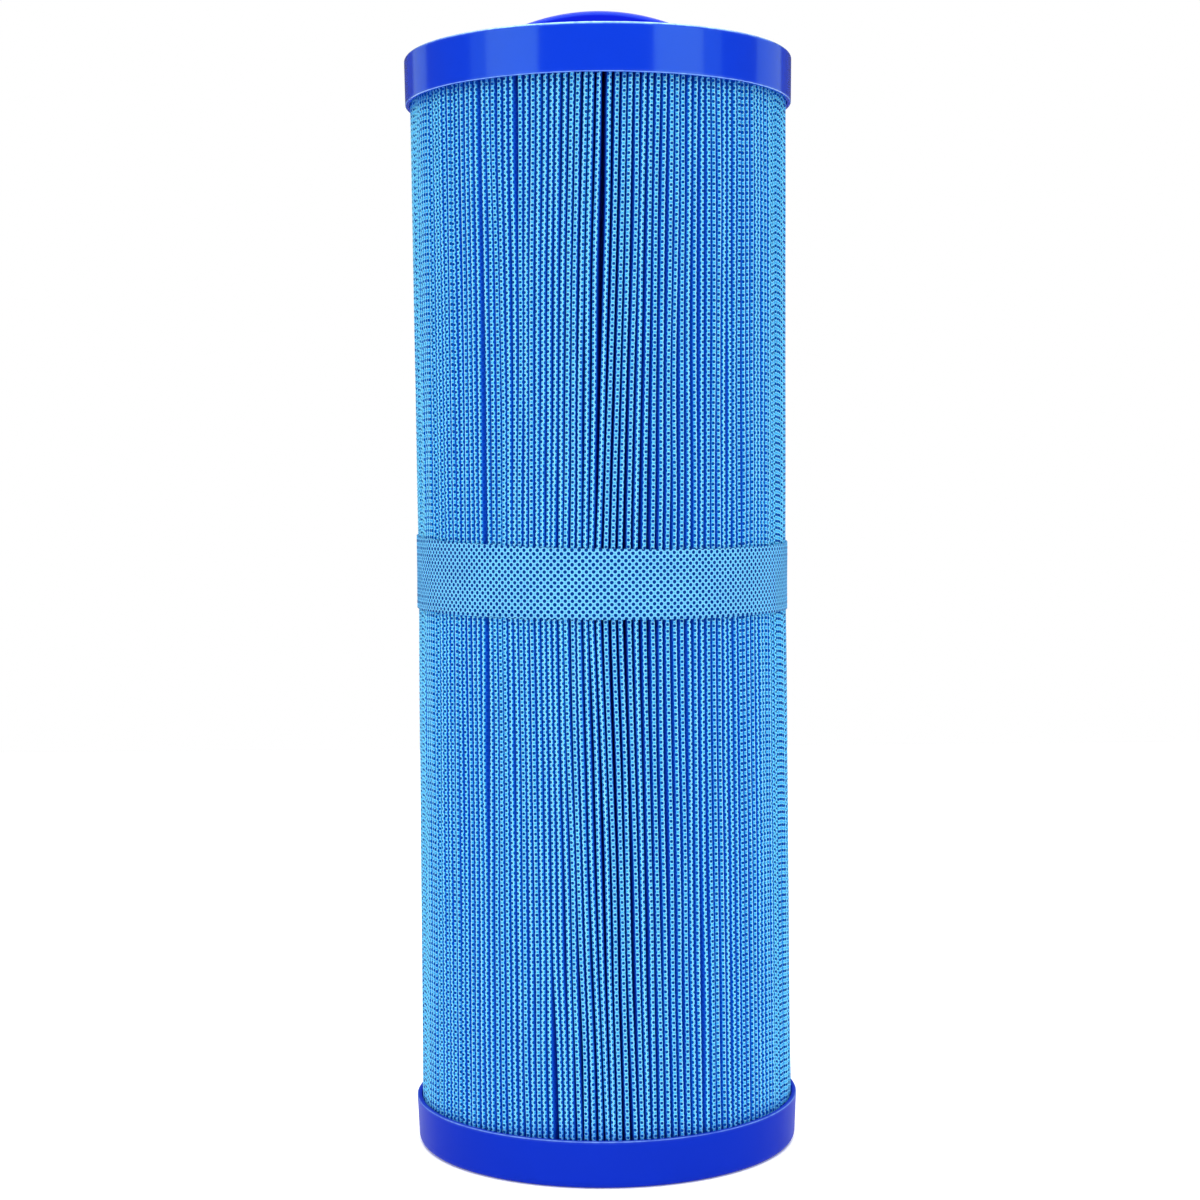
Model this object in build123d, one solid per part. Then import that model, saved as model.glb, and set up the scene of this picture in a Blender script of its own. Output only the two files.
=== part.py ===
from build123d import *
from cmath import exp, rect
from math import acos, cos, degrees, pi, radians, sin, tan
import os

# Spa filter cartridge. A pleated sheet of spun-bonded polyester stands round a lattice core, and both
# ends are set in cast urethane caps. The closed top cap carries an arched handle to lift the cartridge
# out by, and the hole in the bottom cap slips over a standpipe.
# Millimetres. The origin is the centre of the bottom face, and +Z runs up the cartridge's axis.

# ---- Overall sizes ----
length = 352.4              # outer face of the bottom cap to outer face of the top cap
cap_diameter = 125.4        # across the widest edge of either cap

# ---- End caps, cast in urethane ----
cap_height = 14.9           # outer face to the edge of the skirt
cap_floor = 6.0             # thickness between the outer face and the ends of the pleats
skirt_wall = 1.4            # thickness of the skirt round the pleats
skirt_edge_radius = 0.4
bottom_draft = 2.6          # degrees, the bottom cap narrows towards its outer face
bottom_edge_radius = 2.2
top_draft = 0.8             # degrees, the top cap narrows towards the edge of its skirt
top_edge_radius = 1.0
bore_diameter = 54.0        # slips over the standpipe
bore_chamfer = 0.8
collar_wall = 3.0           # urethane that lines the foot of the core
collar_height = 5.0
collar_edge_radius = 0.6
boss_depth = 6.0            # urethane that fills the head of the core
bowl_radius = 26.0          # finger bowl under the handle
bowl_floor_radius = 19.0
bowl_depth = 7.0
bowl_edge_radius = 1.2

# ---- Carry handle ----
handle_span = 85.0
handle_rise = 14.8          # top of the arch above the cap
handle_thickness = 5.8      # of the arch, at its middle
handle_width = 15.0
handle_edge_radius = 1.8
handle_land = 8.0           # length of each end's seat on the cap
foot_length = 6.0           # each keyed foot, along the arch
foot_width = 9.0
foot_flange = 1.3           # thickness of the flange that keys the foot in the urethane
foot_flange_out = 1.2       # how far the flange stands out from the stem
foot_cover = 1.6            # urethane left under each foot

# ---- Lattice core ----
core_sections = ["core_lower", "core_middle", "core_upper"]
core_wall = 2.2
core_ribs = 12
core_rib_width = 4.0
core_hoops = 5              # hoops between a section's two end rings
core_hoop_height = 3.0
core_end_ring = 8.0
spigot_length = 5.0
spigot_wall = 1.05
plug_disc = 2.0             # thickness of the disc that shuts the core
plug_wall = 1.5
plug_height = 7.0

# ---- Filter media ----
pleat_count = 178
media_thickness = 0.40
pleat_tip_width = 1.25      # across the outside of a folded tip
seam_width = 5.0            # of the hot-melt strip inside the pleat that closes the sheet
seam_pleat = pleat_count // 4 + 1
band_height = 22.3
band_thickness = 0.5
band_middle = 186.3         # height of the band's middle above the bottom face
band_side_tilt = 1.1        # degrees, the band sits a little askew: higher at -X
band_front_tilt = 1.5       # and lower at the front
band_lap = 14.0             # length of the welded overlap, at the back

# ---- Clearances ----
media_gap = 1.0             # tips of the pleats to the skirt
core_gap = 0.6              # core to the inner folds
seat_gap = 0.05             # round a piece that is cast or pressed in
seam_gap = 0.055            # hot-melt strip to each wall of its pleat

# ---- Worked out from the sizes above ----
cap_radius = cap_diameter / 2
top_skirt_radius = cap_radius - cap_height * tan(radians(top_draft))
bottom_foot_radius = cap_radius - cap_height * tan(radians(bottom_draft))
trough_radius = top_skirt_radius - skirt_wall
bore_radius = bore_diameter / 2
collar_radius = bore_radius + collar_wall
core_bore_radius = collar_radius + seat_gap
core_radius = core_bore_radius + core_wall
media_bore_radius = core_radius + core_gap
media_radius = trough_radius - media_gap
media_bottom = cap_floor
media_top = length - cap_floor
media_height = media_top - media_bottom
seam_thickness = pleat_tip_width - 2 * media_thickness - 2 * seam_gap
section_length = media_height / len(core_sections)
boss_bottom = media_top - boss_depth
handle_gap_span = handle_span - 2 * handle_land
handle_gap_rise = handle_rise - handle_thickness
foot_depth = cap_floor - foot_cover
foot_centre = (handle_span - handle_land) / 2


def revolved(*corners):
    """A solid of revolution round Z from (radius, height) corners."""
    outline = Polyline(*[(radius, 0, height) for radius, height in corners], close=True)
    return revolve(make_face(outline), axis=Axis.Z)


def ring(inner, outer, bottom, top):
    """A plain tube round Z."""
    return revolved((inner, bottom), (outer, bottom), (outer, top), (inner, top))


def block(along, across, tall):
    """A box that stands on the XY plane, centred on Z."""
    return Box(along, across, tall, align=(Align.CENTER, Align.CENTER, Align.MIN))


def circle_edges(solid, radius, height):
    """The circular edges round Z at one radius and height."""
    def matches(edge):
        on_circle = edge.geom_type == GeomType.CIRCLE and abs(edge.radius - radius) < 1e-3
        return on_circle and abs(edge.center().Z - height) < 1e-3
    return ShapeList(edge for edge in solid.edges() if matches(edge))


def bottom_end_cap():
    """Cast ring: a skirt round the pleats, and a collar inside the core that seals on the standpipe."""
    collar_top = cap_floor + collar_height
    cap = revolved(
        (bore_radius, 0),
        (bottom_foot_radius, 0),
        (cap_radius, cap_height),
        (trough_radius, cap_height),
        (trough_radius, cap_floor),
        (collar_radius, cap_floor),
        (collar_radius, collar_top),
        (bore_radius, collar_top),
    )
    cap = fillet(circle_edges(cap, bottom_foot_radius, 0), bottom_edge_radius)
    cap = fillet(circle_edges(cap, cap_radius, cap_height), skirt_edge_radius)
    cap = fillet(circle_edges(cap, bore_radius, collar_top), collar_edge_radius)
    return chamfer(circle_edges(cap, bore_radius, 0), bore_chamfer)


def handle_feet(gap=0.0):
    """The keyed feet under the handle, or the pockets that hold them when a gap is given."""
    stem_length = foot_length + 2 * gap
    stem_width = foot_width + 2 * gap
    stem = block(stem_length, stem_width, foot_depth + gap)
    flange = block(
        stem_length + 2 * foot_flange_out,
        stem_width + 2 * foot_flange_out,
        foot_flange + 2 * gap,
    )
    foot = Pos(0, 0, length - foot_depth - gap) * (stem + flange)
    return [Pos(side * foot_centre, 0, 0) * foot for side in (-1, 1)]


def top_end_cap():
    """Closed cast disc: a skirt round the pleats, a boss in the head of the core, and a finger bowl."""
    skirt_edge = length - cap_height
    cap = revolved(
        (0, boss_bottom),
        (collar_radius, boss_bottom),
        (collar_radius, media_top),
        (trough_radius, media_top),
        (trough_radius, skirt_edge),
        (top_skirt_radius, skirt_edge),
        (cap_radius, length),
        (0, length),
    )
    cap = fillet(circle_edges(cap, cap_radius, length), top_edge_radius)
    cap = fillet(circle_edges(cap, top_skirt_radius, skirt_edge), skirt_edge_radius)
    bowl = revolved(
        (0, length - bowl_depth),
        (bowl_floor_radius, length - bowl_depth),
        (bowl_radius, length),
        (0, length),
    )
    cap = cap - bowl
    cap = fillet(circle_edges(cap, bowl_radius, length), bowl_edge_radius)
    for pocket in handle_feet(seat_gap):
        cap = cap - pocket
    return cap


def arch(span, rise):
    """An arc over the top cap, from one side of the cartridge to the other."""
    return ThreePointArc((-span / 2, 0, length), (0, 0, length + rise), (span / 2, 0, length))


def carry_handle():
    """Shallow moulded arch across the top, with a keyed foot under each end."""
    outer = arch(handle_span, handle_rise)
    inner = arch(handle_gap_span, handle_gap_rise)
    outline = Wire([outer, Line(outer @ 1, inner @ 1), inner, Line(inner @ 0, outer @ 0)])
    handle = extrude(Face(outline), handle_width / 2, dir=(0, 1, 0), both=True)
    arcs = handle.edges().filter_by(GeomType.CIRCLE)
    handle = fillet(arcs, handle_edge_radius)
    for foot in handle_feet():
        handle = handle + foot
    return handle


def core_section(index):
    """One moulded length of the core. The spigot at its head fits the socket of the next one up."""
    bottom = media_bottom + index * section_length
    top = bottom + section_length
    tube = ring(core_bore_radius, core_radius, bottom, top)
    window_rows = core_hoops + 1
    window_zone = section_length - 2 * core_end_ring - core_hoops * core_hoop_height
    window_height = window_zone / window_rows
    window_width = 2 * pi * core_radius / core_ribs - core_rib_width
    window = Box(2 * core_radius + 2, window_width, window_height)
    windows = []
    for row in range(window_rows):
        height = bottom + core_end_ring + (row + 0.5) * window_height + row * core_hoop_height
        for turn in range(core_ribs // 2):
            windows.append(Pos(0, 0, height) * Rot(0, 0, turn * 360 / core_ribs) * window)
    tube = tube - windows
    if index > 0:
        socket_radius = core_bore_radius + spigot_wall + seat_gap
        tube = tube - ring(core_bore_radius - 1, socket_radius, bottom - 1, bottom + spigot_length + seat_gap)
    if index < len(core_sections) - 1:
        tube = tube + ring(core_bore_radius, core_bore_radius + spigot_wall, top, top + spigot_length)
    return tube


def core_plug():
    """Cup pressed into the head of the core, which keeps the urethane out of it while the cap sets."""
    bottom = boss_bottom - plug_height
    return revolved(
        (0, boss_bottom - plug_disc),
        (collar_radius - plug_wall, boss_bottom - plug_disc),
        (collar_radius - plug_wall, bottom),
        (collar_radius, bottom),
        (collar_radius, boss_bottom),
        (0, boss_bottom),
    )


def pleat_outline(side):
    """Closed outline of the sheet's outer face (side = 1) or of its inner face (side = -1)."""
    half_pitch = pi / pleat_count
    tip_bend = (pleat_tip_width - media_thickness) / 2      # to the middle of the sheet's thickness
    fold_bend = media_bore_radius * half_pitch / 2
    tip_radius = tip_bend + side * media_thickness / 2
    fold_radius = fold_bend - side * media_thickness / 2
    tip_centre = rect(media_radius - media_thickness / 2 - tip_bend, 0)
    fold_centre = rect(media_bore_radius + media_thickness / 2 + fold_bend, half_pitch)
    # Each wall is the straight line that touches the bend at the tip and the bend at the inner fold.
    reach = fold_centre - tip_centre
    across = reach / abs(reach) * exp(-1j * acos((tip_radius + fold_radius) / abs(reach)))
    wall_head = tip_centre + tip_radius * across
    wall_foot = fold_centre - fold_radius * across
    fold_bottom = fold_centre - rect(fold_radius, half_pitch)
    next_foot = wall_foot.conjugate() * rect(1, 2 * half_pitch)
    next_head = wall_head.conjugate() * rect(1, 2 * half_pitch)
    edges = []
    for pleat in range(pleat_count):
        def at(point):
            turned = point * rect(1, 2 * half_pitch * pleat)
            return (turned.real, turned.imag)
        edges.append(ThreePointArc(at(wall_head.conjugate()), at(tip_centre + tip_radius), at(wall_head)))
        edges.append(Line(at(wall_head), at(wall_foot)))
        edges.append(ThreePointArc(at(wall_foot), at(fold_bottom), at(next_foot)))
        edges.append(Line(at(next_foot), at(next_head)))
    return Wire(edges)


def pleated_media():
    """The filter sheet, folded into radial pleats and closed on itself."""
    section = Face(pleat_outline(1), [pleat_outline(-1)])
    return Pos(0, 0, media_bottom) * extrude(section, media_height, dir=(0, 0, 1))


def media_seam():
    """Strip of hot melt inside one pleat at the back, where the two ends of the sheet are joined."""
    outer_end = media_radius - pleat_tip_width
    strip = Pos(outer_end - seam_width / 2, 0, media_bottom) * block(seam_width, seam_thickness, media_height)
    return Rot(0, 0, seam_pleat * 360 / pleat_count) * strip


def media_band():
    """Strip of filter sheet round the middle of the pleats, its ends lapped and welded at the back."""
    inner = media_radius + seat_gap
    outer = inner + band_thickness
    loose_bottom = band_middle - band_height
    loose_top = band_middle + band_height
    band = ring(inner, outer, loose_bottom, loose_top)
    lap_angle = degrees(band_lap / outer)
    lap_outline = Polyline(
        (inner, 0, loose_bottom),
        (outer + band_thickness, 0, loose_bottom),
        (outer + band_thickness, 0, loose_top),
        (inner, 0, loose_top),
        close=True,
    )
    lap = revolve(make_face(lap_outline), axis=Axis.Z, revolution_arc=lap_angle)
    band = band + Rot(0, 0, 90 - lap_angle / 2) * lap
    askew = Rot(band_front_tilt, band_side_tilt, 0) * Box(3 * outer, 3 * outer, band_height)
    return band & (Pos(0, 0, band_middle) * askew)


parts = {
    "bottom_end_cap": bottom_end_cap(),
    "top_end_cap": top_end_cap(),
    "carry_handle": carry_handle(),
    "core_plug": core_plug(),
    "pleated_media": pleated_media(),
    "media_seam": media_seam(),
    "media_band": media_band(),
}
for index, name in enumerate(core_sections):
    parts[name] = core_section(index)

os.makedirs("parts", exist_ok=True)
for name, shape in parts.items():
    export_step(shape, f"parts/{name}.step")
    print(name, len(shape.solids()), "solid", round(shape.volume), "mm3")
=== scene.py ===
import math

import bmesh
import bpy
import numpy as np
from mathutils import Matrix, Vector


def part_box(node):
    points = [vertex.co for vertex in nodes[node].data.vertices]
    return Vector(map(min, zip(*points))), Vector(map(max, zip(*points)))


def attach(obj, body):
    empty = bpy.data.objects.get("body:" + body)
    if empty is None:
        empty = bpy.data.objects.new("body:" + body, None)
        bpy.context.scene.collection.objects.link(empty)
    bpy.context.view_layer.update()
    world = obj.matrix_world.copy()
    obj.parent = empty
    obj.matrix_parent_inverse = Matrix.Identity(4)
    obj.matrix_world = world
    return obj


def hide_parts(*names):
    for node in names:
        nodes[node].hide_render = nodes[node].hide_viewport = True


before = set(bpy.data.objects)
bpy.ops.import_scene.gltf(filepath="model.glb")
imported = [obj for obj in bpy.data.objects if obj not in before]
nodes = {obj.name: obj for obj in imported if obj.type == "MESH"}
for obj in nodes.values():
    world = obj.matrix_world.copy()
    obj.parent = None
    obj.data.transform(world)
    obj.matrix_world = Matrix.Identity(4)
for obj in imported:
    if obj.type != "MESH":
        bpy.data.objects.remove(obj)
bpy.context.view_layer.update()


# ---- Lattice core and its plug ----
# Three lengths of lattice tube plug together inside the pleats, and a cup shuts the top one. All are
# injection moulded in natural ABS. They show only through the hole in the bottom cap.

MM = 0.001
core_white = "#D9DBD6"
core_shade = "#C4C8C4"
moulding_clouds = 18 * MM
moulding_grain = 1.2 * MM       # the real spark grain is about 0.1 mm, too fine to show


def linear(colour):
    """An sRGB hex colour as linear red, green, blue and alpha."""
    shares = [int(colour[i:i + 2], 16) / 255 for i in (1, 3, 5)]
    return [s / 12.92 if s <= 0.04045 else ((s + 0.055) / 1.055) ** 2.4 for s in shares] + [1.0]


def add(material, kind, sockets=None, **settings):
    """Adds a node to a material, with its settings and with the values or links that feed its sockets."""
    made = material.node_tree.nodes.new(kind)
    for name, value in settings.items():
        setattr(made, name, value)
    for name, value in (sockets or {}).items():
        if isinstance(value, bpy.types.NodeSocket):
            material.node_tree.links.new(value, made.inputs[name])
        else:
            made.inputs[name].default_value = value
    return made


def finish_named(name):
    """An empty material, with its output."""
    material = bpy.data.materials.new(name)
    material.use_nodes = True
    material.node_tree.nodes.clear()
    return material


def shown_by(material, shader):
    """Makes a shader the material's surface."""
    add(material, "ShaderNodeOutputMaterial", {"Surface": shader.outputs[0]})
    return material


def moulded_abs():
    """Natural ABS, moulded: off-white, a little cloudy, with a dull sheen."""
    material = finish_named("moulded natural ABS")
    place = add(material, "ShaderNodeTexCoord").outputs["Object"]
    cloud = add(material, "ShaderNodeTexNoise", {"Vector": place, "Scale": 1 / moulding_clouds, "Detail": 3})
    grain = add(material, "ShaderNodeTexNoise", {"Vector": place, "Scale": 1 / moulding_grain, "Detail": 2})
    tone = add(material, "ShaderNodeMix", {
        "Factor": cloud.outputs["Fac"], 6: linear(core_white), 7: linear(core_shade),
    }, data_type="RGBA")
    relief = add(material, "ShaderNodeBump", {
        "Height": grain.outputs["Fac"], "Strength": 0.15, "Distance": 0.05 * MM,
    })
    shader = add(material, "ShaderNodeBsdfPrincipled", {
        "Base Color": tone.outputs[2], "Normal": relief.outputs["Normal"],
        "Roughness": 0.42, "IOR": 1.54,
    })
    return shown_by(material, shader)


abs_finish = moulded_abs()
for name in ("core_lower", "core_middle", "core_upper", "core_plug"):
    nodes[name].data.materials.clear()
    nodes[name].data.materials.append(abs_finish)


# ---- Pleated media ----
# One long sheet of blue spun-bonded polyester, point bonded in a lattice of pressed dots and folded into
# upright pleats round the core. Its ends are set in the caps and a band pulls its waist in a little, so the
# pleats lean and open in places.

pleats = 178
tip_bend = 0.66 * MM            # outside radius of a folded tip
fold_bend = 0.29 * MM           # the same of an inner fold, by the core
tip_turns = np.radians([-91, -60, -22, 22, 60, 91])
fold_turns = np.radians([-91, 0, 91])
bulges = [(2.0 * MM, 0.82 * MM), (5.0 * MM, 0.93 * MM)]      # depth behind the tip, half width of the pleat
between = 0.04 * MM             # from a pleat's bulge to the middle of the gap, at least
sheet_room = 0.5 * MM           # core to the sheet's inner folds
waist = 0.8 * MM                # how much further out the tips stand at the caps than at the band
band_margin = 0.5 * MM          # the band's edges grip this much less than its width
held_length = 12 * MM           # the caps steady the pleats' ends over this length
slow_sway, quick_sway = 0.17 * MM, 0.10 * MM
sway_at_caps = 0.35             # share of the sway that is left where the caps hold the ends
uneven_tips = 0.10 * MM         # how far the tips stand in or out, away from the band
fold_share = 0.3                # of a tip's move aside that its inner folds take up
media_low, media_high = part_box("pleated_media")
band_low, band_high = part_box("media_band")
_, core_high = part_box("core_lower")
band_level = (band_low.z + band_high.z) / 2
band_half = (band_high.z - band_low.z) / 2 - band_margin
tip_at_band = media_high.x
rows = 44
levels = np.linspace(media_low.z, media_high.z, rows)[None, :]
lottery = np.random.default_rng(11)

# Where the pleats stand apart: degrees round from the front, level, reach up and down, opening.
openings = [
    (1.7, 345 * MM, 100 * MM, 1.25 * MM),
    (-24.9, 342 * MM, 46 * MM, 1.1 * MM),
    (-36.3, 240 * MM, 130 * MM, 1.1 * MM),
    (10.6, 190 * MM, 45 * MM, 0.35 * MM),
    (16.4, 185 * MM, 40 * MM, 0.40 * MM),
    (-14.5, 22 * MM, 34 * MM, 0.9 * MM),
    (29.5, 34 * MM, 40 * MM, 0.6 * MM),
    (-10.0, 205 * MM, 24 * MM, 0.4 * MM),
    (97.0, 120 * MM, 90 * MM, 0.8 * MM),
    (-118.0, 290 * MM, 80 * MM, 0.9 * MM),
    (160.0, 60 * MM, 70 * MM, 0.8 * MM),
    (-158.0, 250 * MM, 60 * MM, 0.7 * MM),
]
crowding = 9                    # pleats on each side that make room for an opening

# Where the band drags the tips aside: radians round from the front, reach each way, and how far, in radians.
drags = [(0.03, 0.45, -0.075), (-2.1, 0.4, 0.02625)]
straight_again = 0.75           # of the drag that is gone at the bottom cap; all of it is at the top cap


def soft_step(low, high, value):
    """0 below low, 1 above high, and a smooth rise between."""
    share = np.clip((value - low) / (high - low), 0, 1)
    return share * share * (3 - 2 * share)


def wandering(across, along, count):
    """A random drift for each pleat that its neighbours share, slow along its height."""
    drift = lottery.normal(size=(pleats, count))
    drift = sum(np.roll(drift, k, 0) for k in range(-across, across + 1)) / math.sqrt(2 * across + 1)
    knots = np.linspace(levels.min(), levels.max(), count)
    smooth = np.array([np.interp(levels[0], knots, row) for row in drift])
    kernel = np.hanning(along + 2)[1:-1]
    padded = np.pad(smooth, ((0, 0), (along // 2, along - 1 - along // 2)), mode="edge")
    return np.array([np.convolve(row, kernel / kernel.sum(), mode="valid") for row in padded])


pitch = 2 * math.pi / pleats
rest = ((np.arange(pleats) + 0.5) * pitch - math.pi)[:, None]
above = np.clip((levels - band_level) / (levels.max() - band_level), 0, 1)
below = np.clip((band_level - levels) / (band_level - levels.min()), 0, 1)
lean = np.where(levels > band_level, 1 - above, 1 - straight_again * below)
shift = lean * sum(far * np.exp(-((rest - middle) / reach) ** 2) for middle, reach, far in drags)
for degrees, level, reach, opening in openings:
    away = (rest - math.radians(degrees) + math.pi) % (2 * math.pi) - math.pi
    push = np.sign(away) * np.exp(-np.abs(away) / (crowding * pitch))
    shift = shift + push * opening / 2 / tip_at_band * np.exp(-((levels - level) / reach) ** 4)
sway = (slow_sway * wandering(1, 9, 9) + quick_sway * wandering(0, 5, 15)) / tip_at_band
from_low, from_high = levels - levels.min(), levels.max() - levels
ends_held = soft_step(0, held_length, from_low) * soft_step(0, held_length, from_high)
tip_angle = rest + shift + sway * (sway_at_caps + (1 - sway_at_caps) * ends_held)
stand_out = waist * np.where(levels > band_level, above, below ** 0.8)
clear_of_band = soft_step(band_half, band_half + 15 * MM, np.abs(levels - band_level))
stand_out = stand_out + uneven_tips * wandering(0, 7, 9) * clear_of_band
tip_radius = tip_at_band + stand_out - tip_bend
fold_radius = core_high.x + sheet_room + fold_bend
fold_angle = (rest + pitch / 2) + fold_share * (tip_angle - rest)


def around(radius, angle):
    """Plan positions at a radius and an angle round from the front."""
    return np.stack([radius * np.sin(angle), -radius * np.cos(angle)], -1)


def square_to(direction):
    """The direction a quarter turn anticlockwise from this one."""
    return np.stack([-direction[..., 1], direction[..., 0]], -1)


tips = around(tip_radius, tip_angle)
folds = around(np.full_like(fold_angle, 1) * fold_radius, fold_angle)
outward = tips - (folds + np.roll(folds, 1, 0)) / 2
outward = outward / np.linalg.norm(outward, axis=-1, keepdims=True)
sideways = square_to(outward)
fold_out = folds / np.linalg.norm(folds, axis=-1, keepdims=True)
fold_side = square_to(fold_out)
columns = [tips + tip_bend * (math.cos(t) * outward + math.sin(t) * sideways) for t in tip_turns]
for depth, half_width in bulges:
    centre = tips - depth * outward
    room = np.linalg.norm(np.roll(centre, -1, 0) - centre, axis=-1, keepdims=True) / 2 - between
    before = centre - np.minimum(half_width, np.roll(room, 1, 0)) * sideways
    after = centre + np.minimum(half_width, room) * sideways
    columns = [before, *columns, after]
columns += [folds + fold_bend * (math.sin(t) * fold_side - math.cos(t) * fold_out) for t in fold_turns]
plan = np.stack(columns, 1)                                     # pleat, column, row, x and y
per_pleat = plan.shape[1]
height = np.broadcast_to(levels[:, None, :, None], plan.shape[:3] + (1,))
sheet_points = np.concatenate([plan, height], -1).reshape(-1, 3)

wall = float(np.linalg.norm(tips - folds, axis=-1).mean())
cut_per_pleat = 2 * (wall + (tip_bend + fold_bend) * tip_turns[-1])
dot_pitch_across, dot_pitch_up = 2.16 * MM, 2.07 * MM
print_drift = 0.32 * MM         # how far the print is off from one pleat to the next, either way
print_step = round(cut_per_pleat / dot_pitch_across) * dot_pitch_across
along_tip = tip_bend * tip_turns
along_walls = np.array([along_tip[-1] + depth for depth, _ in bulges])
along_fold = print_step / 2 + fold_bend * fold_turns
along_drift = np.cumsum(lottery.normal(scale=print_drift, size=pleats))
up_drift = np.cumsum(lottery.normal(scale=print_drift, size=pleats))
up_drift -= np.linspace(0, up_drift[-1], pleats)
along_pleat = np.concatenate([-along_walls[::-1], along_tip, along_walls, along_fold])
sheet_along = np.arange(pleats)[:, None] * print_step + along_drift[:, None] + along_pleat
tip_degrees = np.abs(np.degrees(tip_turns))


def past_turn(low, high):
    """0 where a tip is turned less than low degrees, 1 past high, and 1 on the walls and folds behind it."""
    on_walls, on_folds = np.ones(len(bulges)), np.ones(len(fold_turns))
    return np.concatenate([on_walls, soft_step(low, high, tip_degrees), on_walls, on_folds])


# Share of the painted shade between the pleats that each column of points gets: none over most of a tip, all
# on the walls and folds.
gap_shade_by_column = past_turn(62, 91)
turned_away = past_turn(12, 60)


def woven_faces(columns_round, rows_up, closed):
    """Quads between neighbouring columns of points, row by row."""
    first = np.arange(columns_round if closed else columns_round - 1)
    second = (first + 1) % columns_round
    up = np.arange(rows_up - 1)
    a = first[:, None] * rows_up + up
    b = second[:, None] * rows_up + up
    return np.stack([a, b, b + 1, a + 1], -1).reshape(-1, 4).tolist()


def mesh_piece(name, points, faces):
    """A new object from points in metres and faces, smooth shaded."""
    mesh = bpy.data.meshes.new(name)
    mesh.from_pydata(points.tolist(), [], faces)
    mesh.polygons.foreach_set("use_smooth", [True] * len(mesh.polygons))
    mesh.update()
    piece = bpy.data.objects.new(name, mesh)
    bpy.context.scene.collection.objects.link(piece)
    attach(piece, "root")
    return piece


def lay_out(piece, along, up):
    """Stores each point's place on the flat sheet, in metres, as the piece's UV map."""
    corner_points = np.empty(len(piece.data.loops), np.int32)
    piece.data.loops.foreach_get("vertex_index", corner_points)
    flat_place = np.stack([along[corner_points], up[corner_points]], -1)
    piece.data.uv_layers.new(name="flat sheet")
    piece.data.uv_layers["flat sheet"].data.foreach_set("uv", flat_place.ravel())


faces = woven_faces(pleats * per_pleat, rows, closed=True)
media = mesh_piece("media_pleats", sheet_points, faces)
flat_along = np.repeat(sheet_along.ravel(), rows)
flat_up = (levels + np.repeat(up_drift, per_pleat)[:, None]).ravel()
lay_out(media, flat_along, flat_up)

# The last faces close the ring, so the far side of each belongs one whole length further along the sheet.
closing = len(faces) - (rows - 1)
laid = media.data.uv_layers["flat sheet"].data
flat_place = np.empty(len(faces) * 4 * 2)
laid.foreach_get("uv", flat_place)
flat_place = flat_place.reshape(-1, 4, 2)
flat_place[closing:, 1:3, 0] += pleats * print_step
laid.foreach_set("uv", flat_place.ravel())
# Point attributes: where the painted shade between the pleats goes, and how far round its tip each point is
# turned.
for title, share in (("painted gap shade", gap_shade_by_column), ("turned away", turned_away)):
    mark = media.data.attributes.new(title, "FLOAT", "POINT")
    mark.data.foreach_set("value", np.repeat(np.tile(share, pleats), rows))

media_blue = "#1A9CEC"          # of a tip, between its dots
tip_ring_highlight = "#A0EAFE"          # painted highlight in a ring round a tip's dots
# Painted shading: copies of the sheet's colours for the flanks of the tips, toned apart from those on the
# crests.
flank_shaded_blue = "#0898EA"
flank_shaded_ring_highlight = "#66DCFE"
gap_shade_blue = "#0A52DA"          # painted shade between the pleats
dot_navy = "#003082"            # a dot on a tip
flank_shaded_dot = "#0050B0"           # a dot on a flank, in the flanks' painted shading
# Painted shade on the ends of the pleats near the caps, strongest under the top cap's skirt.
cap_shadow_blue = "#0A50C4"
felt_clouds = 14 * MM
cap_shadow_wander = 3 * MM                # how unevenly the painted shade near the caps reaches along the sheet
cap_shadow_fade = 4.5 * MM            # height over which the painted shade at an end fades out
cap_shadow_early = 2.5 * MM           # how far below the upper level the painted shade starts
felt_across, felt_up = 0.5 * MM, 0.9 * MM       # the real fibres are 0.02 mm thick, too fine to show
dot_depth = 0.18 * MM
quincunx_turn = math.radians(45)


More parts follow.
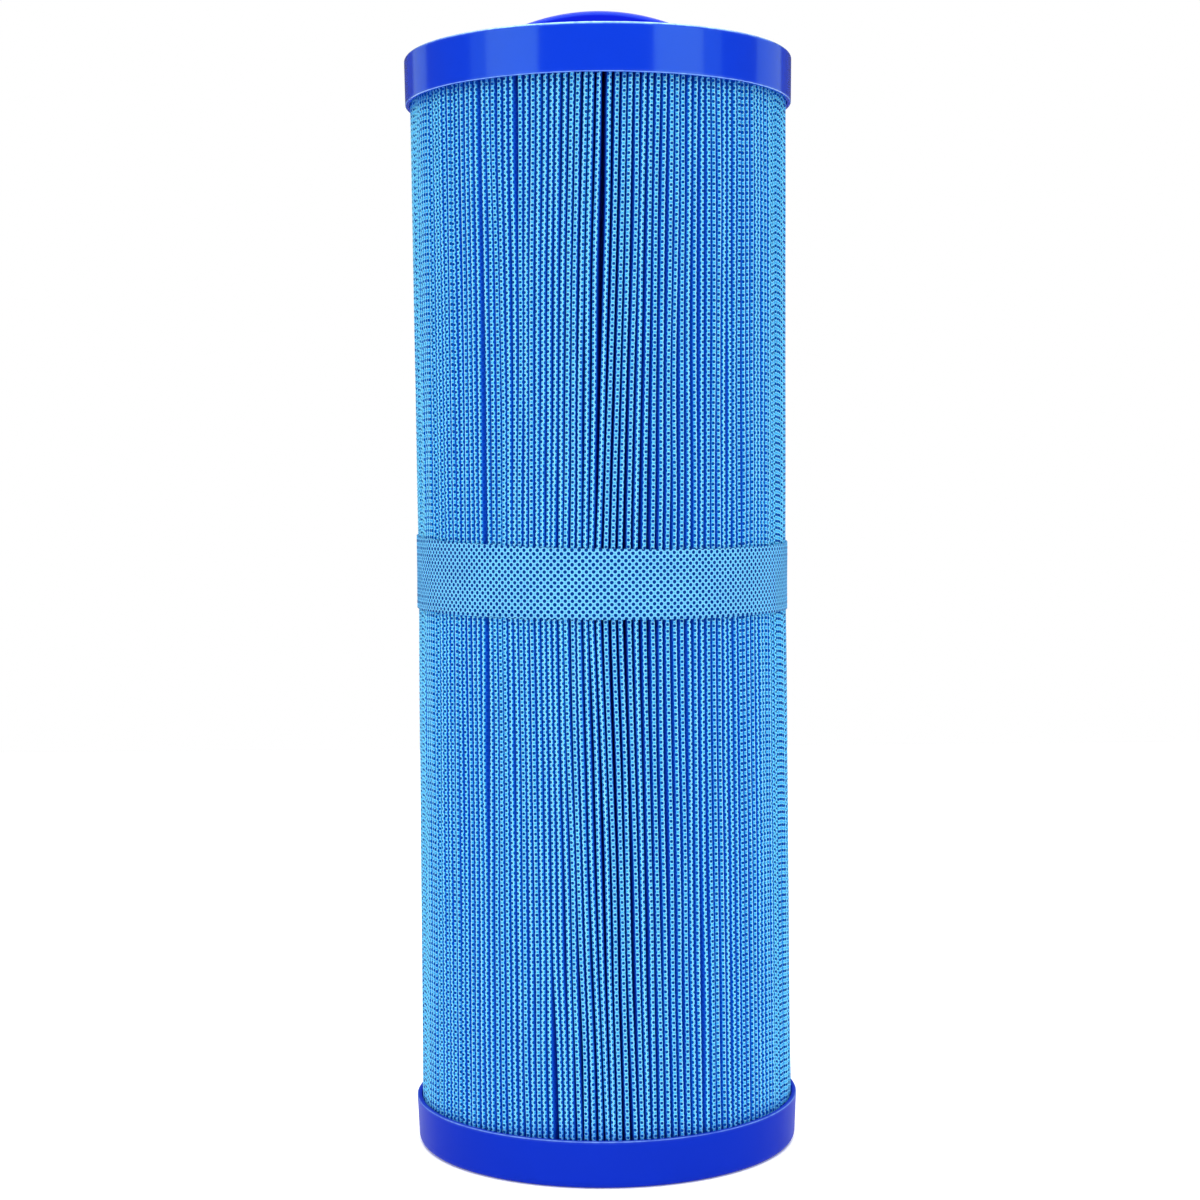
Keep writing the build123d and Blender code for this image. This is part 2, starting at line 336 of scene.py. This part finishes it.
def spun_bonded_polyester(name, blue, pale, gap_shade_strength, pitch_across, pitch_up, dot_width, ring_highlight_reach,
                          cap_shadow_beyond):
    """Spun-bonded polyester sheet: felted fibres with next to no gloss, and a lattice of hot-pressed dots
    that are thinner, glassier and darker than the sheet round them. Painted on it are a highlight in a pale
    ring round each dot, shaded copies of its colours on the flanks of the tips, shade deep between the
    pleats, and, beyond two levels, darker shade on the ends near the caps."""
    material = finish_named(name)
    flat = add(material, "ShaderNodeUVMap", uv_map="flat sheet").outputs["UV"]

    # One dot stands in each cell of a square lattice that is turned by 45 degrees, a little out of place.
    lattice = add(material, "ShaderNodeVectorMath", {
        0: flat, 1: (1 / pitch_across, 1 / pitch_up, 0),
    }, operation="MULTIPLY")
    wobble = add(material, "ShaderNodeTexNoise", {"Vector": lattice.outputs[0], "Scale": 1.7, "Detail": 1})
    wobble_off = add(material, "ShaderNodeVectorMath", {
        0: wobble.outputs["Color"], 1: (-0.5, -0.5, -0.5),
    }, operation="ADD")
    uneven = add(material, "ShaderNodeVectorMath", {
        0: wobble_off.outputs[0], 1: (0.10, 0.10, 0.0), 2: lattice.outputs[0],
    }, operation="MULTIPLY_ADD")
    turned = add(material, "ShaderNodeVectorRotate", {
        "Vector": uneven.outputs[0], "Angle": quincunx_turn,
    }, rotation_type="Z_AXIS")
    quincunx = add(material, "ShaderNodeVectorMath", {
        0: turned.outputs[0], 1: (math.sqrt(2), math.sqrt(2), 0),
    }, operation="MULTIPLY")
    cell = add(material, "ShaderNodeVectorMath", {0: quincunx.outputs[0]}, operation="FRACTION")
    centred = add(material, "ShaderNodeVectorMath", {
        0: cell.outputs[0], 1: (-0.5, -0.5, 0),
    }, operation="ADD")
    in_cell = add(material, "ShaderNodeVectorMath", {0: centred.outputs[0]}, operation="LENGTH")
    # How far round its tip a point is turned: it widens the dots, and blends in the painted shading of the
    # flanks.
    turned_from = add(material, "ShaderNodeAttribute", attribute_name="turned away").outputs["Fac"]
    widened = add(material, "ShaderNodeMapRange", {"Value": turned_from, "To Min": 1.0, "To Max": 0.86})
    from_dot = add(material, "ShaderNodeMath", {
        0: in_cell.outputs["Value"], 1: widened.outputs[0],
    }, operation="MULTIPLY")
    dot_edge = dot_width / 2 / pitch_across * math.sqrt(2)
    dot = add(material, "ShaderNodeMapRange", {
        "Value": from_dot.outputs[0], "From Min": dot_edge * 0.82, "From Max": dot_edge * 1.10,
        "To Min": 1, "To Max": 0,
    }, interpolation_type="SMOOTHSTEP")
    # Painted highlight: a pale ring round each dot.
    ring_highlight = add(material, "ShaderNodeMapRange", {
        "Value": from_dot.outputs[0], "From Min": dot_edge * 1.15, "From Max": dot_edge * ring_highlight_reach,
        "To Min": 0.90, "To Max": 0.0,
    }, interpolation_type="SMOOTHSTEP")

    # The felted fibres between the dots, in clumps, and the cloudiness of the whole sheet.
    fibre_place = add(material, "ShaderNodeVectorMath", {
        0: flat, 1: (1 / felt_across, 1 / felt_up, 0),
    }, operation="MULTIPLY")
    fibres = add(material, "ShaderNodeTexNoise", {
        "Vector": fibre_place.outputs[0], "Scale": 1, "Detail": 3, "Distortion": 1.5,
    })
    clouds = add(material, "ShaderNodeTexNoise", {"Vector": flat, "Scale": 1 / felt_clouds, "Detail": 3})
    felted = add(material, "ShaderNodeMapRange", {
        "Value": fibres.outputs["Fac"], "From Min": 0.35, "From Max": 0.75, "To Max": 0.24,
    })

    # Colours: the sheet with its painted ring highlights and painted flank shading, then its dots, then
    # painted shade between the pleats, then painted shade on the ends near the caps.
    tone = add(material, "ShaderNodeMath", {
        0: felted.outputs[0], 1: ring_highlight.outputs[0],
    }, operation="ADD", use_clamp=True)
    # The flanks take the painted-shaded copies of the crest colours.
    between_dots = add(material, "ShaderNodeMix", {
        "Factor": turned_from, 6: linear(blue), 7: linear(flank_shaded_blue),
    }, data_type="RGBA")
    ring_highlight_colour = add(material, "ShaderNodeMix", {
        "Factor": turned_from, 6: linear(pale), 7: linear(flank_shaded_ring_highlight),
    }, data_type="RGBA")
    sheet_colour = add(material, "ShaderNodeMix", {
        "Factor": tone.outputs[0], 6: between_dots.outputs[2], 7: ring_highlight_colour.outputs[2],
    }, data_type="RGBA")
    cloudy = add(material, "ShaderNodeMapRange", {
        "Value": clouds.outputs["Fac"], "From Min": 0.3, "From Max": 0.7, "To Min": 0.93, "To Max": 1.05,
    })
    shaded = add(material, "ShaderNodeVectorMath", {
        0: sheet_colour.outputs[2], "Scale": cloudy.outputs[0],
    }, operation="SCALE")
    dot_colour = add(material, "ShaderNodeMix", {
        "Factor": turned_from, 6: linear(dot_navy), 7: linear(flank_shaded_dot),
    }, data_type="RGBA")
    dotted = add(material, "ShaderNodeMix", {
        "Factor": dot.outputs[0], 6: shaded.outputs[0], 7: dot_colour.outputs[2],
    }, data_type="RGBA")
    # Painted shade deep between the pleats, where the light hardly reaches.
    gap_shade_mask = add(material, "ShaderNodeAttribute", attribute_name="painted gap shade")
    gap_shade = add(material, "ShaderNodeMath", {
        0: gap_shade_mask.outputs["Fac"], 1: gap_shade_strength,
    }, operation="MULTIPLY")
    before_cap_shadow = add(material, "ShaderNodeMix", {
        "Factor": gap_shade.outputs[0], 6: dotted.outputs[2], 7: linear(gap_shade_blue),
    }, data_type="RGBA")
    # Painted shade on the ends of the sheet near the caps, its edge wandering with the clouds.
    level = add(material, "ShaderNodeSeparateXYZ", {"Vector": flat}).outputs["Y"]
    cap_shadow_level = add(material, "ShaderNodeMath", {
        0: clouds.outputs["Fac"], 1: cap_shadow_wander, 2: level,
    }, operation="MULTIPLY_ADD")
    low, high = cap_shadow_beyond
    low_cap_shadow = add(material, "ShaderNodeMapRange", {
        "Value": cap_shadow_level.outputs[0], "From Min": low, "From Max": low + cap_shadow_fade,
        "To Min": 0.35, "To Max": 0.0,
    }, interpolation_type="SMOOTHSTEP")
    high_cap_shadow = add(material, "ShaderNodeMapRange", {
        "Value": cap_shadow_level.outputs[0], "From Min": high - cap_shadow_early, "From Max": high - cap_shadow_early + cap_shadow_fade,
        "To Max": 0.75,
    }, interpolation_type="SMOOTHSTEP")
    cap_shadow = add(material, "ShaderNodeMath", {
        0: low_cap_shadow.outputs[0], 1: high_cap_shadow.outputs[0],
    }, operation="MAXIMUM")
    colour = add(material, "ShaderNodeMix", {
        "Factor": cap_shadow.outputs[0], 6: before_cap_shadow.outputs[2], 7: linear(cap_shadow_blue),
    }, data_type="RGBA")

    pressed_in = add(material, "ShaderNodeMath", {
        0: dot.outputs[0], 1: -1.0, 2: fibres.outputs["Fac"],
    }, operation="MULTIPLY_ADD")
    relief = add(material, "ShaderNodeBump", {
        "Height": pressed_in.outputs[0], "Strength": 0.8, "Distance": dot_depth,
    })
    roughness = add(material, "ShaderNodeMapRange", {
        "Value": dot.outputs[0], "To Min": 0.68, "To Max": 0.45,
    })
    shader = add(material, "ShaderNodeBsdfPrincipled", {
        "Base Color": colour.outputs[2], "Normal": relief.outputs["Normal"],
        "Roughness": roughness.outputs[0], "IOR": 1.57, "Specular IOR Level": 0.01,
        "Specular Tint": (0.35, 0.9, 1.0, 1.0),
    })
    return shown_by(material, shader)


in_cap = 8.9 * MM               # length of the sheet's ends behind the caps' skirts
media.data.materials.append(spun_bonded_polyester(
    "pleated spun-bonded polyester", media_blue, tip_ring_highlight, gap_shade_strength=0.90,
    pitch_across=dot_pitch_across, pitch_up=dot_pitch_up, dot_width=1.04 * MM, ring_highlight_reach=1.55,
    cap_shadow_beyond=(media_low.z + in_cap, media_high.z - in_cap)))
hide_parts("pleated_media")


# ---- Media band ----
# A strip of the same sheet drawn round the waist of the pleats. It sits a little askew, its lower edge
# lies truer than its upper, and its ends are lapped and welded at the back.

band_cloth = 0.45 * MM          # thickness
band_lap = 14 * MM
band_rows = 11
band_steps = 4 * pleats
lap_steps = 30
band_inner = tip_at_band + 0.05 * MM
band_round = 2 * math.pi * band_inner
run = np.linspace(0, band_round + band_lap, band_steps + lap_steps)
band_turn = run / band_inner + math.pi - band_lap / 2 / band_inner
lapped = soft_step(band_round - 4 * MM, band_round + 1 * MM, run) * band_cloth * 1.05
plan_x, plan_y = np.sin(band_turn), -np.cos(band_turn)

# Each edge lies in a plane of its own: its level above the band's middle, and how far it tilts to X and Y.
top_edge = band_level + 11.3 * MM - 1.53 * MM * plan_x + 2.2 * MM * plan_y
bottom_edge = band_level - 11.4 * MM - 0.70 * MM * plan_x + 0.9 * MM * plan_y
edge_flutter = 0.08 * MM * np.sin(run / (5.1 * MM)) * np.sin(run / (13.7 * MM))
across = np.linspace(0, 1, band_rows)
band_z = bottom_edge[:, None] + (top_edge - bottom_edge + edge_flutter)[:, None] * across
pressed = 0.05 * MM * np.cos(band_turn * pleats)[:, None] * (0.5 + 0.5 * np.cos(2 * math.pi * across))
slack = 0.10 * MM * np.sin(3 * band_turn + 1)[:, None] * np.cos(math.pi * across)
band_r = band_inner + lapped[:, None] + pressed + slack
loop_r = np.concatenate([band_r + band_cloth, band_r[:, ::-1]], 1)
loop_z = np.concatenate([band_z, band_z[:, ::-1]], 1)
loop_count = 2 * band_rows
band_points = np.stack([loop_r * plan_x[:, None], loop_r * plan_y[:, None], loop_z], -1).reshape(-1, 3)
here = np.arange(len(run) - 1)[:, None] * loop_count
this = np.arange(loop_count)
following = (this + 1) % loop_count
ahead = here + loop_count
band_faces = np.stack([here + this, ahead + this, ahead + following, here + following], -1)
band_faces = band_faces.reshape(-1, 4).tolist()
band_faces.append(list(range(loop_count))[::-1])
last = (len(run) - 1) * loop_count
band_faces.append([last + k for k in range(loop_count)])
band = mesh_piece("media_waistband", band_points, band_faces)
lay_out(band, np.repeat(run, loop_count), (loop_z - band_level).ravel())
band_blue = "#2A92E0"
# painted highlight in a ring round the band's dots
band_ring_highlight = "#78CAF6"
nowhere = (-1, 1)               # levels that the band doesn't reach: none of it gets the painted shade near the caps
band.data.materials.append(spun_bonded_polyester(
    "spun-bonded polyester band", band_blue, band_ring_highlight, gap_shade_strength=0.0,
    pitch_across=dot_pitch_across, pitch_up=2.20 * MM, dot_width=1.18 * MM, ring_highlight_reach=1.85,
    cap_shadow_beyond=nowhere))
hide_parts("media_band")


# ---- Media seam ----
# Strip of hot melt inside one pleat at the back, where the sheet's two ends are joined.
# The walls of its pleat hide it.

melt_white, melt_shade = "#DCDCCB", "#C9CABB"
melt_clouds = 4 * MM


def hot_melt():
    """Set hot melt: a cloudy, waxy white."""
    material = finish_named("set hot melt")
    place = add(material, "ShaderNodeTexCoord").outputs["Object"]
    cloud = add(material, "ShaderNodeTexNoise", {"Vector": place, "Scale": 1 / melt_clouds})
    tone = add(material, "ShaderNodeMix", {
        "Factor": cloud.outputs["Fac"], 6: linear(melt_white), 7: linear(melt_shade),
    }, data_type="RGBA")
    shader = add(material, "ShaderNodeBsdfPrincipled", {
        "Base Color": tone.outputs[2], "Roughness": 0.35, "IOR": 1.48,
    })
    return shown_by(material, shader)


nodes["media_seam"].data.materials.clear()
nodes["media_seam"].data.materials.append(hot_melt())


# ---- Bottom cap ----
# Cast in one pour of cobalt-blue urethane round the ends of the pleats and the core. The mould leaves a
# smooth satin side, and a thin lip where the pour met the mould's edge.

turns = 384
beside = 0.6 * MM               # from a rounded edge to the ring of points that keeps the wall beside it flat
lip_corner = 0.35 * MM
trough_corner = 0.6 * MM
lip_waves = (3, 7, 16, 29, 53)  # waves round the cap's lip
lip_in, lip_up = 0.02 * MM, 0.07 * MM   # height of each, towards the axis and along it
base_blue, base_shade = "#102EB6", "#0E2AAC"
# painted highlight along the caps' edges
edge_highlight_blue = "#ACDEFF"
gloss_tint = (0.40, 1.0, 0.70, 1.0)     # the pigment in the skin colours the gloss
pour_clouds, pour_ripples = 22 * MM, 9 * MM
pits_apart = 0.6 * MM
# size of the patches that break up the painted edge highlight
edge_highlight_patches = 2.5 * MM


def cast_urethane(name, colour, shade, gloss_level, dull):
    """Pigmented cast urethane: smooth from the mould, with a satin gloss, faint ripples and fine pits, and
    a painted highlight along its edges."""
    material = finish_named(name)
    place = add(material, "ShaderNodeTexCoord").outputs["Object"]
    cloud = add(material, "ShaderNodeTexNoise", {"Vector": place, "Scale": 1 / pour_clouds, "Detail": 4})
    ripple = add(material, "ShaderNodeTexNoise", {"Vector": place, "Scale": 1 / pour_ripples, "Detail": 2})
    pits = add(material, "ShaderNodeTexNoise", {"Vector": place, "Scale": 1 / pits_apart, "Detail": 2})
    tone = add(material, "ShaderNodeMix", {
        "Factor": cloud.outputs["Fac"], 6: linear(colour), 7: linear(shade),
    }, data_type="RGBA")
    wavy = add(material, "ShaderNodeBump", {
        "Height": ripple.outputs["Fac"], "Strength": 0.25, "Distance": 0.12 * MM,
    })
    pitted = add(material, "ShaderNodeBump", {
        "Height": pits.outputs["Fac"], "Strength": 0.12, "Distance": 0.02 * MM,
        "Normal": wavy.outputs["Normal"],
    })
    # Painted highlight along the edges, broken into patches.
    edge_highlight = add(material, "ShaderNodeAttribute", attribute_name="painted edge highlight")
    patchy = add(material, "ShaderNodeTexNoise", {"Vector": place, "Scale": 1 / edge_highlight_patches, "Detail": 2})
    broken = add(material, "ShaderNodeMapRange", {
        "Value": patchy.outputs["Fac"], "From Min": 0.35, "From Max": 0.60, "To Min": 0.55, "To Max": 1.0,
    })
    edge_highlight_share = add(material, "ShaderNodeMath", {
        0: edge_highlight.outputs["Fac"], 1: broken.outputs[0],
    }, operation="MULTIPLY")
    colours = add(material, "ShaderNodeMix", {
        "Factor": edge_highlight_share.outputs[0], 6: tone.outputs[2], 7: linear(edge_highlight_blue),
    }, data_type="RGBA")
    gloss = add(material, "ShaderNodeMapRange", {
        "Value": cloud.outputs["Fac"], "To Min": dull, "To Max": dull * 1.5,
    })
    shader = add(material, "ShaderNodeBsdfPrincipled", {
        "Base Color": colours.outputs[2], "Normal": pitted.outputs["Normal"],
        "Roughness": gloss.outputs[0], "IOR": 1.5,
        "Specular IOR Level": gloss_level, "Specular Tint": gloss_tint,
    })
    return shown_by(material, shader)


def paint_edge_highlight(piece, *circles):
    """Stores how strongly the painted highlight lies along an edge: each circle has a radius, a level, a
    reach and a strength.
    """
    place = np.empty(len(piece.data.vertices) * 3)
    piece.data.vertices.foreach_get("co", place)
    place = place.reshape(-1, 3)
    out = np.hypot(place[:, 0], place[:, 1])
    share = np.zeros(len(place))
    for radius, level, reach, strength in circles:
        away = np.hypot(out - radius, place[:, 2] - level)
        share = np.maximum(share, strength * np.exp(-(away / reach) ** 2))
    edge_highlight = piece.data.attributes.new("painted edge highlight", "FLOAT", "POINT")
    edge_highlight.data.foreach_set("value", share)


def rounded(corners):
    """A turned outline from (radius, height, corner radius) corners, with its corners rounded off."""
    outline = []
    count = len(corners)
    for k, (r, z, bend) in enumerate(corners):
        here = Vector((r, z))
        if bend <= 0 or k in (0, count - 1):
            outline.append(here)
            continue
        back = (Vector(corners[k - 1][:2]) - here).normalized()
        ahead = (Vector(corners[k + 1][:2]) - here).normalized()
        half = back.angle(ahead) / 2
        reach = bend / math.tan(half)
        centre = here + (back + ahead).normalized() * bend / math.sin(half)
        start, end = here + back * reach - centre, here + ahead * reach - centre
        if (Vector(corners[k - 1][:2]) - here).length > 6 * beside:
            outline.append(here + back * (reach + beside))
        for step in range(9):
            share = step / 8
            outline.append(centre + (start * (1 - share) + end * share).normalized() * bend)
        if (Vector(corners[k + 1][:2]) - here).length > 6 * beside:
            outline.append(here + ahead * (reach + beside))
    return outline


def turned(name, outline, ripple):
    """A solid of revolution round the cartridge's axis from an outline of radii and heights."""
    angle = np.arange(turns) * 2 * math.pi / turns
    r = np.array([p.x for p in outline])
    z = np.array([p.y for p in outline])
    dr, dz = ripple(angle, r, z)
    radius, level = r + dr, z + dz
    points = np.stack([radius * np.sin(angle)[:, None], -radius * np.cos(angle)[:, None], level], -1)
    piece = mesh_piece(name, points.reshape(-1, 3), woven_faces(turns, len(outline), closed=True))
    solid = bmesh.new()
    solid.from_mesh(piece.data)
    bmesh.ops.remove_doubles(solid, verts=solid.verts, dist=0.001 * MM)
    solid.to_mesh(piece.data)
    solid.free()
    return piece


def uneven_lip(lip_level, lip_radius):
    """Moves the points at a cap's lip up, down and in by a few hundredths, as the pour left it."""
    def ripple(angle, r, z):
        near = np.exp(-((z - lip_level) / (0.5 * MM)) ** 2) * (np.abs(r - lip_radius) < 1.6 * MM)
        wave = sum(np.sin(k * angle + 1.7 * k * k) / math.sqrt(k) for k in lip_waves)
        return lip_in * near[None, :] * wave[:, None], lip_up * near[None, :] * wave[:, None]
    return ripple


base_low, base_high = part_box("bottom_end_cap")
cap_radius = base_high.x + 0.02 * MM
lip = base_high.z
foot_radius = cap_radius - lip * math.tan(math.radians(2.6))      # the mould's draft
hole_radius = 27 * MM
trough_radius = 61.1 * MM
pour_level = lip - 2.6 * MM
collar_top = 11 * MM
collar_radius = 30 * MM
seat_radius = collar_radius + 3.2 * MM
seat_level = 6 * MM             # the core stands on it
hole_middle = 5 * MM            # the outline starts and ends here, on the wall of the hole
outline = rounded([
    (hole_radius, hole_middle, 0),
    (hole_radius, base_low.z, 0.8 * MM),
    (foot_radius, base_low.z, 2.2 * MM),
    (cap_radius, lip, lip_corner),
    (trough_radius, lip, lip_corner),
    (trough_radius, pour_level, trough_corner),
    (seat_radius, pour_level, 0),
    (seat_radius, seat_level, 0),
    (collar_radius, seat_level, 0),
    (collar_radius, collar_top, 0.4 * MM),
    (hole_radius, collar_top, 0.6 * MM),
    (hole_radius, hole_middle, 0),
])
bottom_cap = turned("cap_bottom", outline, uneven_lip(lip, cap_radius))
# Painted highlight along the outer edge of the lip.
paint_edge_highlight(bottom_cap, (cap_radius - 0.1 * MM, lip - 0.05 * MM, 0.20 * MM, 0.40))
bottom_cap.data.materials.append(
    cast_urethane("cast urethane, bottom cap", base_blue, base_shade, gloss_level=0.02, dull=0.3))
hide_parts("bottom_end_cap")


# ---- Top cap ----
# The second pour, closed over the core, with a bowl for the fingers under the handle. It is glossier
# than the bottom cap, and a highlight is painted along its rim and the edge of its skirt.

head_low, head_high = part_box("top_end_cap")
head_blue, head_shade = "#0836D0", "#0632C6"
cap_height = 14.9 * MM
face = head_high.z
skirt = face - cap_height
skirt_radius = cap_radius - cap_height * math.tan(math.radians(0.8))
ceiling = skirt + 2.2 * MM
bowl_floor = face - 7 * MM
boss_radius = 30 * MM           # the boss fills the head of the core
boss_root = head_low.z + 6 * MM
outline = rounded([
    (0.0, bowl_floor, 0),
    (19 * MM, bowl_floor, 2.0 * MM),
    (26 * MM, face, 1.2 * MM),
    (cap_radius, face, 1.0 * MM),
    (skirt_radius, skirt, lip_corner),
    (trough_radius, skirt, lip_corner),
    (trough_radius, ceiling, trough_corner),
    (seat_radius, ceiling, 0),
    (seat_radius, boss_root, 0),
    (boss_radius, boss_root, 0),
    (boss_radius, head_low.z, 0),
    (0.0, head_low.z, 0),
])
top_cap = turned("cap_top", outline, uneven_lip(skirt, skirt_radius))
# Painted highlight along the rim and along the edge of the skirt.
paint_edge_highlight(top_cap, (cap_radius - 0.40 * MM, face - 0.18 * MM, 0.44 * MM, 0.9),
    (skirt_radius - 0.06 * MM, skirt + 0.08 * MM, 0.17 * MM, 0.55))
top_cap.data.materials.append(
    cast_urethane("cast urethane, top cap", head_blue, head_shade, gloss_level=0.85, dull=0.10))
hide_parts("top_end_cap")


# ---- Carry handle ----
# Moulded polypropylene arch, its feet set in the pour. It is a little deeper blue than the caps, and
# duller than the top one.

handle_blue, handle_shade = "#1022DC", "#0E1ED2"
handle_clouds = 15 * MM
peel_apart = 1.5 * MM


def moulded_polypropylene():
    """Pigmented polypropylene, moulded: even colour, waxy gloss and a very fine orange peel."""
    material = finish_named("moulded polypropylene")
    place = add(material, "ShaderNodeTexCoord").outputs["Object"]
    peel = add(material, "ShaderNodeTexNoise", {"Vector": place, "Scale": 1 / peel_apart, "Detail": 2})
    cloud = add(material, "ShaderNodeTexNoise", {"Vector": place, "Scale": 1 / handle_clouds, "Detail": 2})
    tone = add(material, "ShaderNodeMix", {
        "Factor": cloud.outputs["Fac"], 6: linear(handle_blue), 7: linear(handle_shade),
    }, data_type="RGBA")
    relief = add(material, "ShaderNodeBump", {
        "Height": peel.outputs["Fac"], "Strength": 0.15, "Distance": 0.03 * MM,
    })
    shader = add(material, "ShaderNodeBsdfPrincipled", {
        "Base Color": tone.outputs[2], "Normal": relief.outputs["Normal"],
        "Roughness": 0.3, "IOR": 1.49, "Specular IOR Level": 0.2, "Specular Tint": gloss_tint,
    })
    return shown_by(material, shader)


nodes["carry_handle"].data.materials.clear()
nodes["carry_handle"].data.materials.append(moulded_polypropylene())


# ---- Studio ----
# A pale floor and white surroundings, two tall soft boxes on each side of the front and one on each side
# behind, a key light high in front, and a broad soft light above.

box_away, box_level, box_height = 1.3, 0.25, 1.2
plain, cool = (1, 1, 1), (0.72, 0.96, 1.0)
middle = (0, 0, 0.18)           # of the cartridge


def light(name, place, size, power, colour=plain, aim=middle):
    """A rectangular soft light that faces a point, and can't be seen itself."""
    lamp = bpy.data.lights.new(name, "AREA")
    lamp.shape = "RECTANGLE"
    lamp.size, lamp.size_y = size
    lamp.energy = power
    lamp.color = colour
    held = bpy.data.objects.new(name, lamp)
    held.location = place
    held.rotation_euler = (Vector(aim) - Vector(place)).to_track_quat("-Z", "Y").to_euler()
    held.visible_camera = False
    bpy.context.scene.collection.objects.link(held)


def stood_at(degrees, distance, level):
    """A place round the cartridge, in degrees from the front."""
    return (distance * math.sin(math.radians(degrees)), -distance * math.cos(math.radians(degrees)), level)


for name, degrees, width, power, colour in (
    ("soft box, front left", -50, 0.75, 3.2, plain),
    ("soft box, front right", 47, 0.70, 3.0, plain),
    ("soft box, front left, outer edge", -72, 0.24, 0.35, cool),
    ("soft box, front right, outer edge", 69, 0.26, 0.4, cool),
    ("soft box, back left", -128, 0.45, 0.9, cool),
    ("soft box, back right", 120, 0.7, 1.4, cool),
):
    light(name, stood_at(degrees, box_away, box_level), (width, box_height), power, colour)
light("key, high in front", (0.0, -1.6, 2.0), (2.4, 1.2), 38)
light("overhead", (0.0, 0.2, 2.4), (2.8, 2.8), 92, aim=(0, 0.2, 0))

floor_reach = 1.1
floor_mesh = bpy.data.meshes.new("floor")
floor_corners = [(x * floor_reach, y * floor_reach, 0) for x, y in ((-1, -1), (1, -1), (1, 1), (-1, 1))]
floor_mesh.from_pydata(floor_corners, [], [(0, 1, 2, 3)])
floor = bpy.data.objects.new("floor", floor_mesh)
bpy.context.scene.collection.objects.link(floor)
paper = finish_named("white background paper")
shown_by(paper, add(paper, "ShaderNodeBsdfPrincipled", {
    "Base Color": linear("#FAFAFB"), "Roughness": 0.9, "Specular IOR Level": 0.0,
    "Emission Color": (1, 1, 1, 1), "Emission Strength": 0.2,
}))
floor_mesh.materials.append(paper)

world = bpy.data.worlds.new("studio")
bpy.context.scene.world = world
world.use_nodes = True
world.node_tree.nodes.clear()
seen = add(world, "ShaderNodeLightPath").outputs["Is Camera Ray"]
strength = add(world, "ShaderNodeMapRange", {"Value": seen, "To Min": 0.12, "To Max": 1.0})
white = add(world, "ShaderNodeBackground", {"Color": (1, 1, 1, 1), "Strength": strength.outputs[0]})
add(world, "ShaderNodeOutputWorld", {"Surface": white.outputs[0]})
bpy.context.scene.view_settings.view_transform = "Standard"

camera = bpy.data.cameras.new("camera")
camera.lens, camera.sensor_width = 66.86, 36
view = bpy.data.objects.new("camera", camera)
bpy.context.scene.collection.objects.link(view)
dip = 2.829                     # degrees that it looks down
roll = -0.009
stand = Matrix.Translation((-0.0008, -0.732, 0.2132))
pointed = Matrix.Rotation(math.radians(90 - dip), 4, "X")
view.matrix_world = stand @ pointed @ Matrix.Rotation(roll, 4, "Z")
bpy.context.scene.camera = view
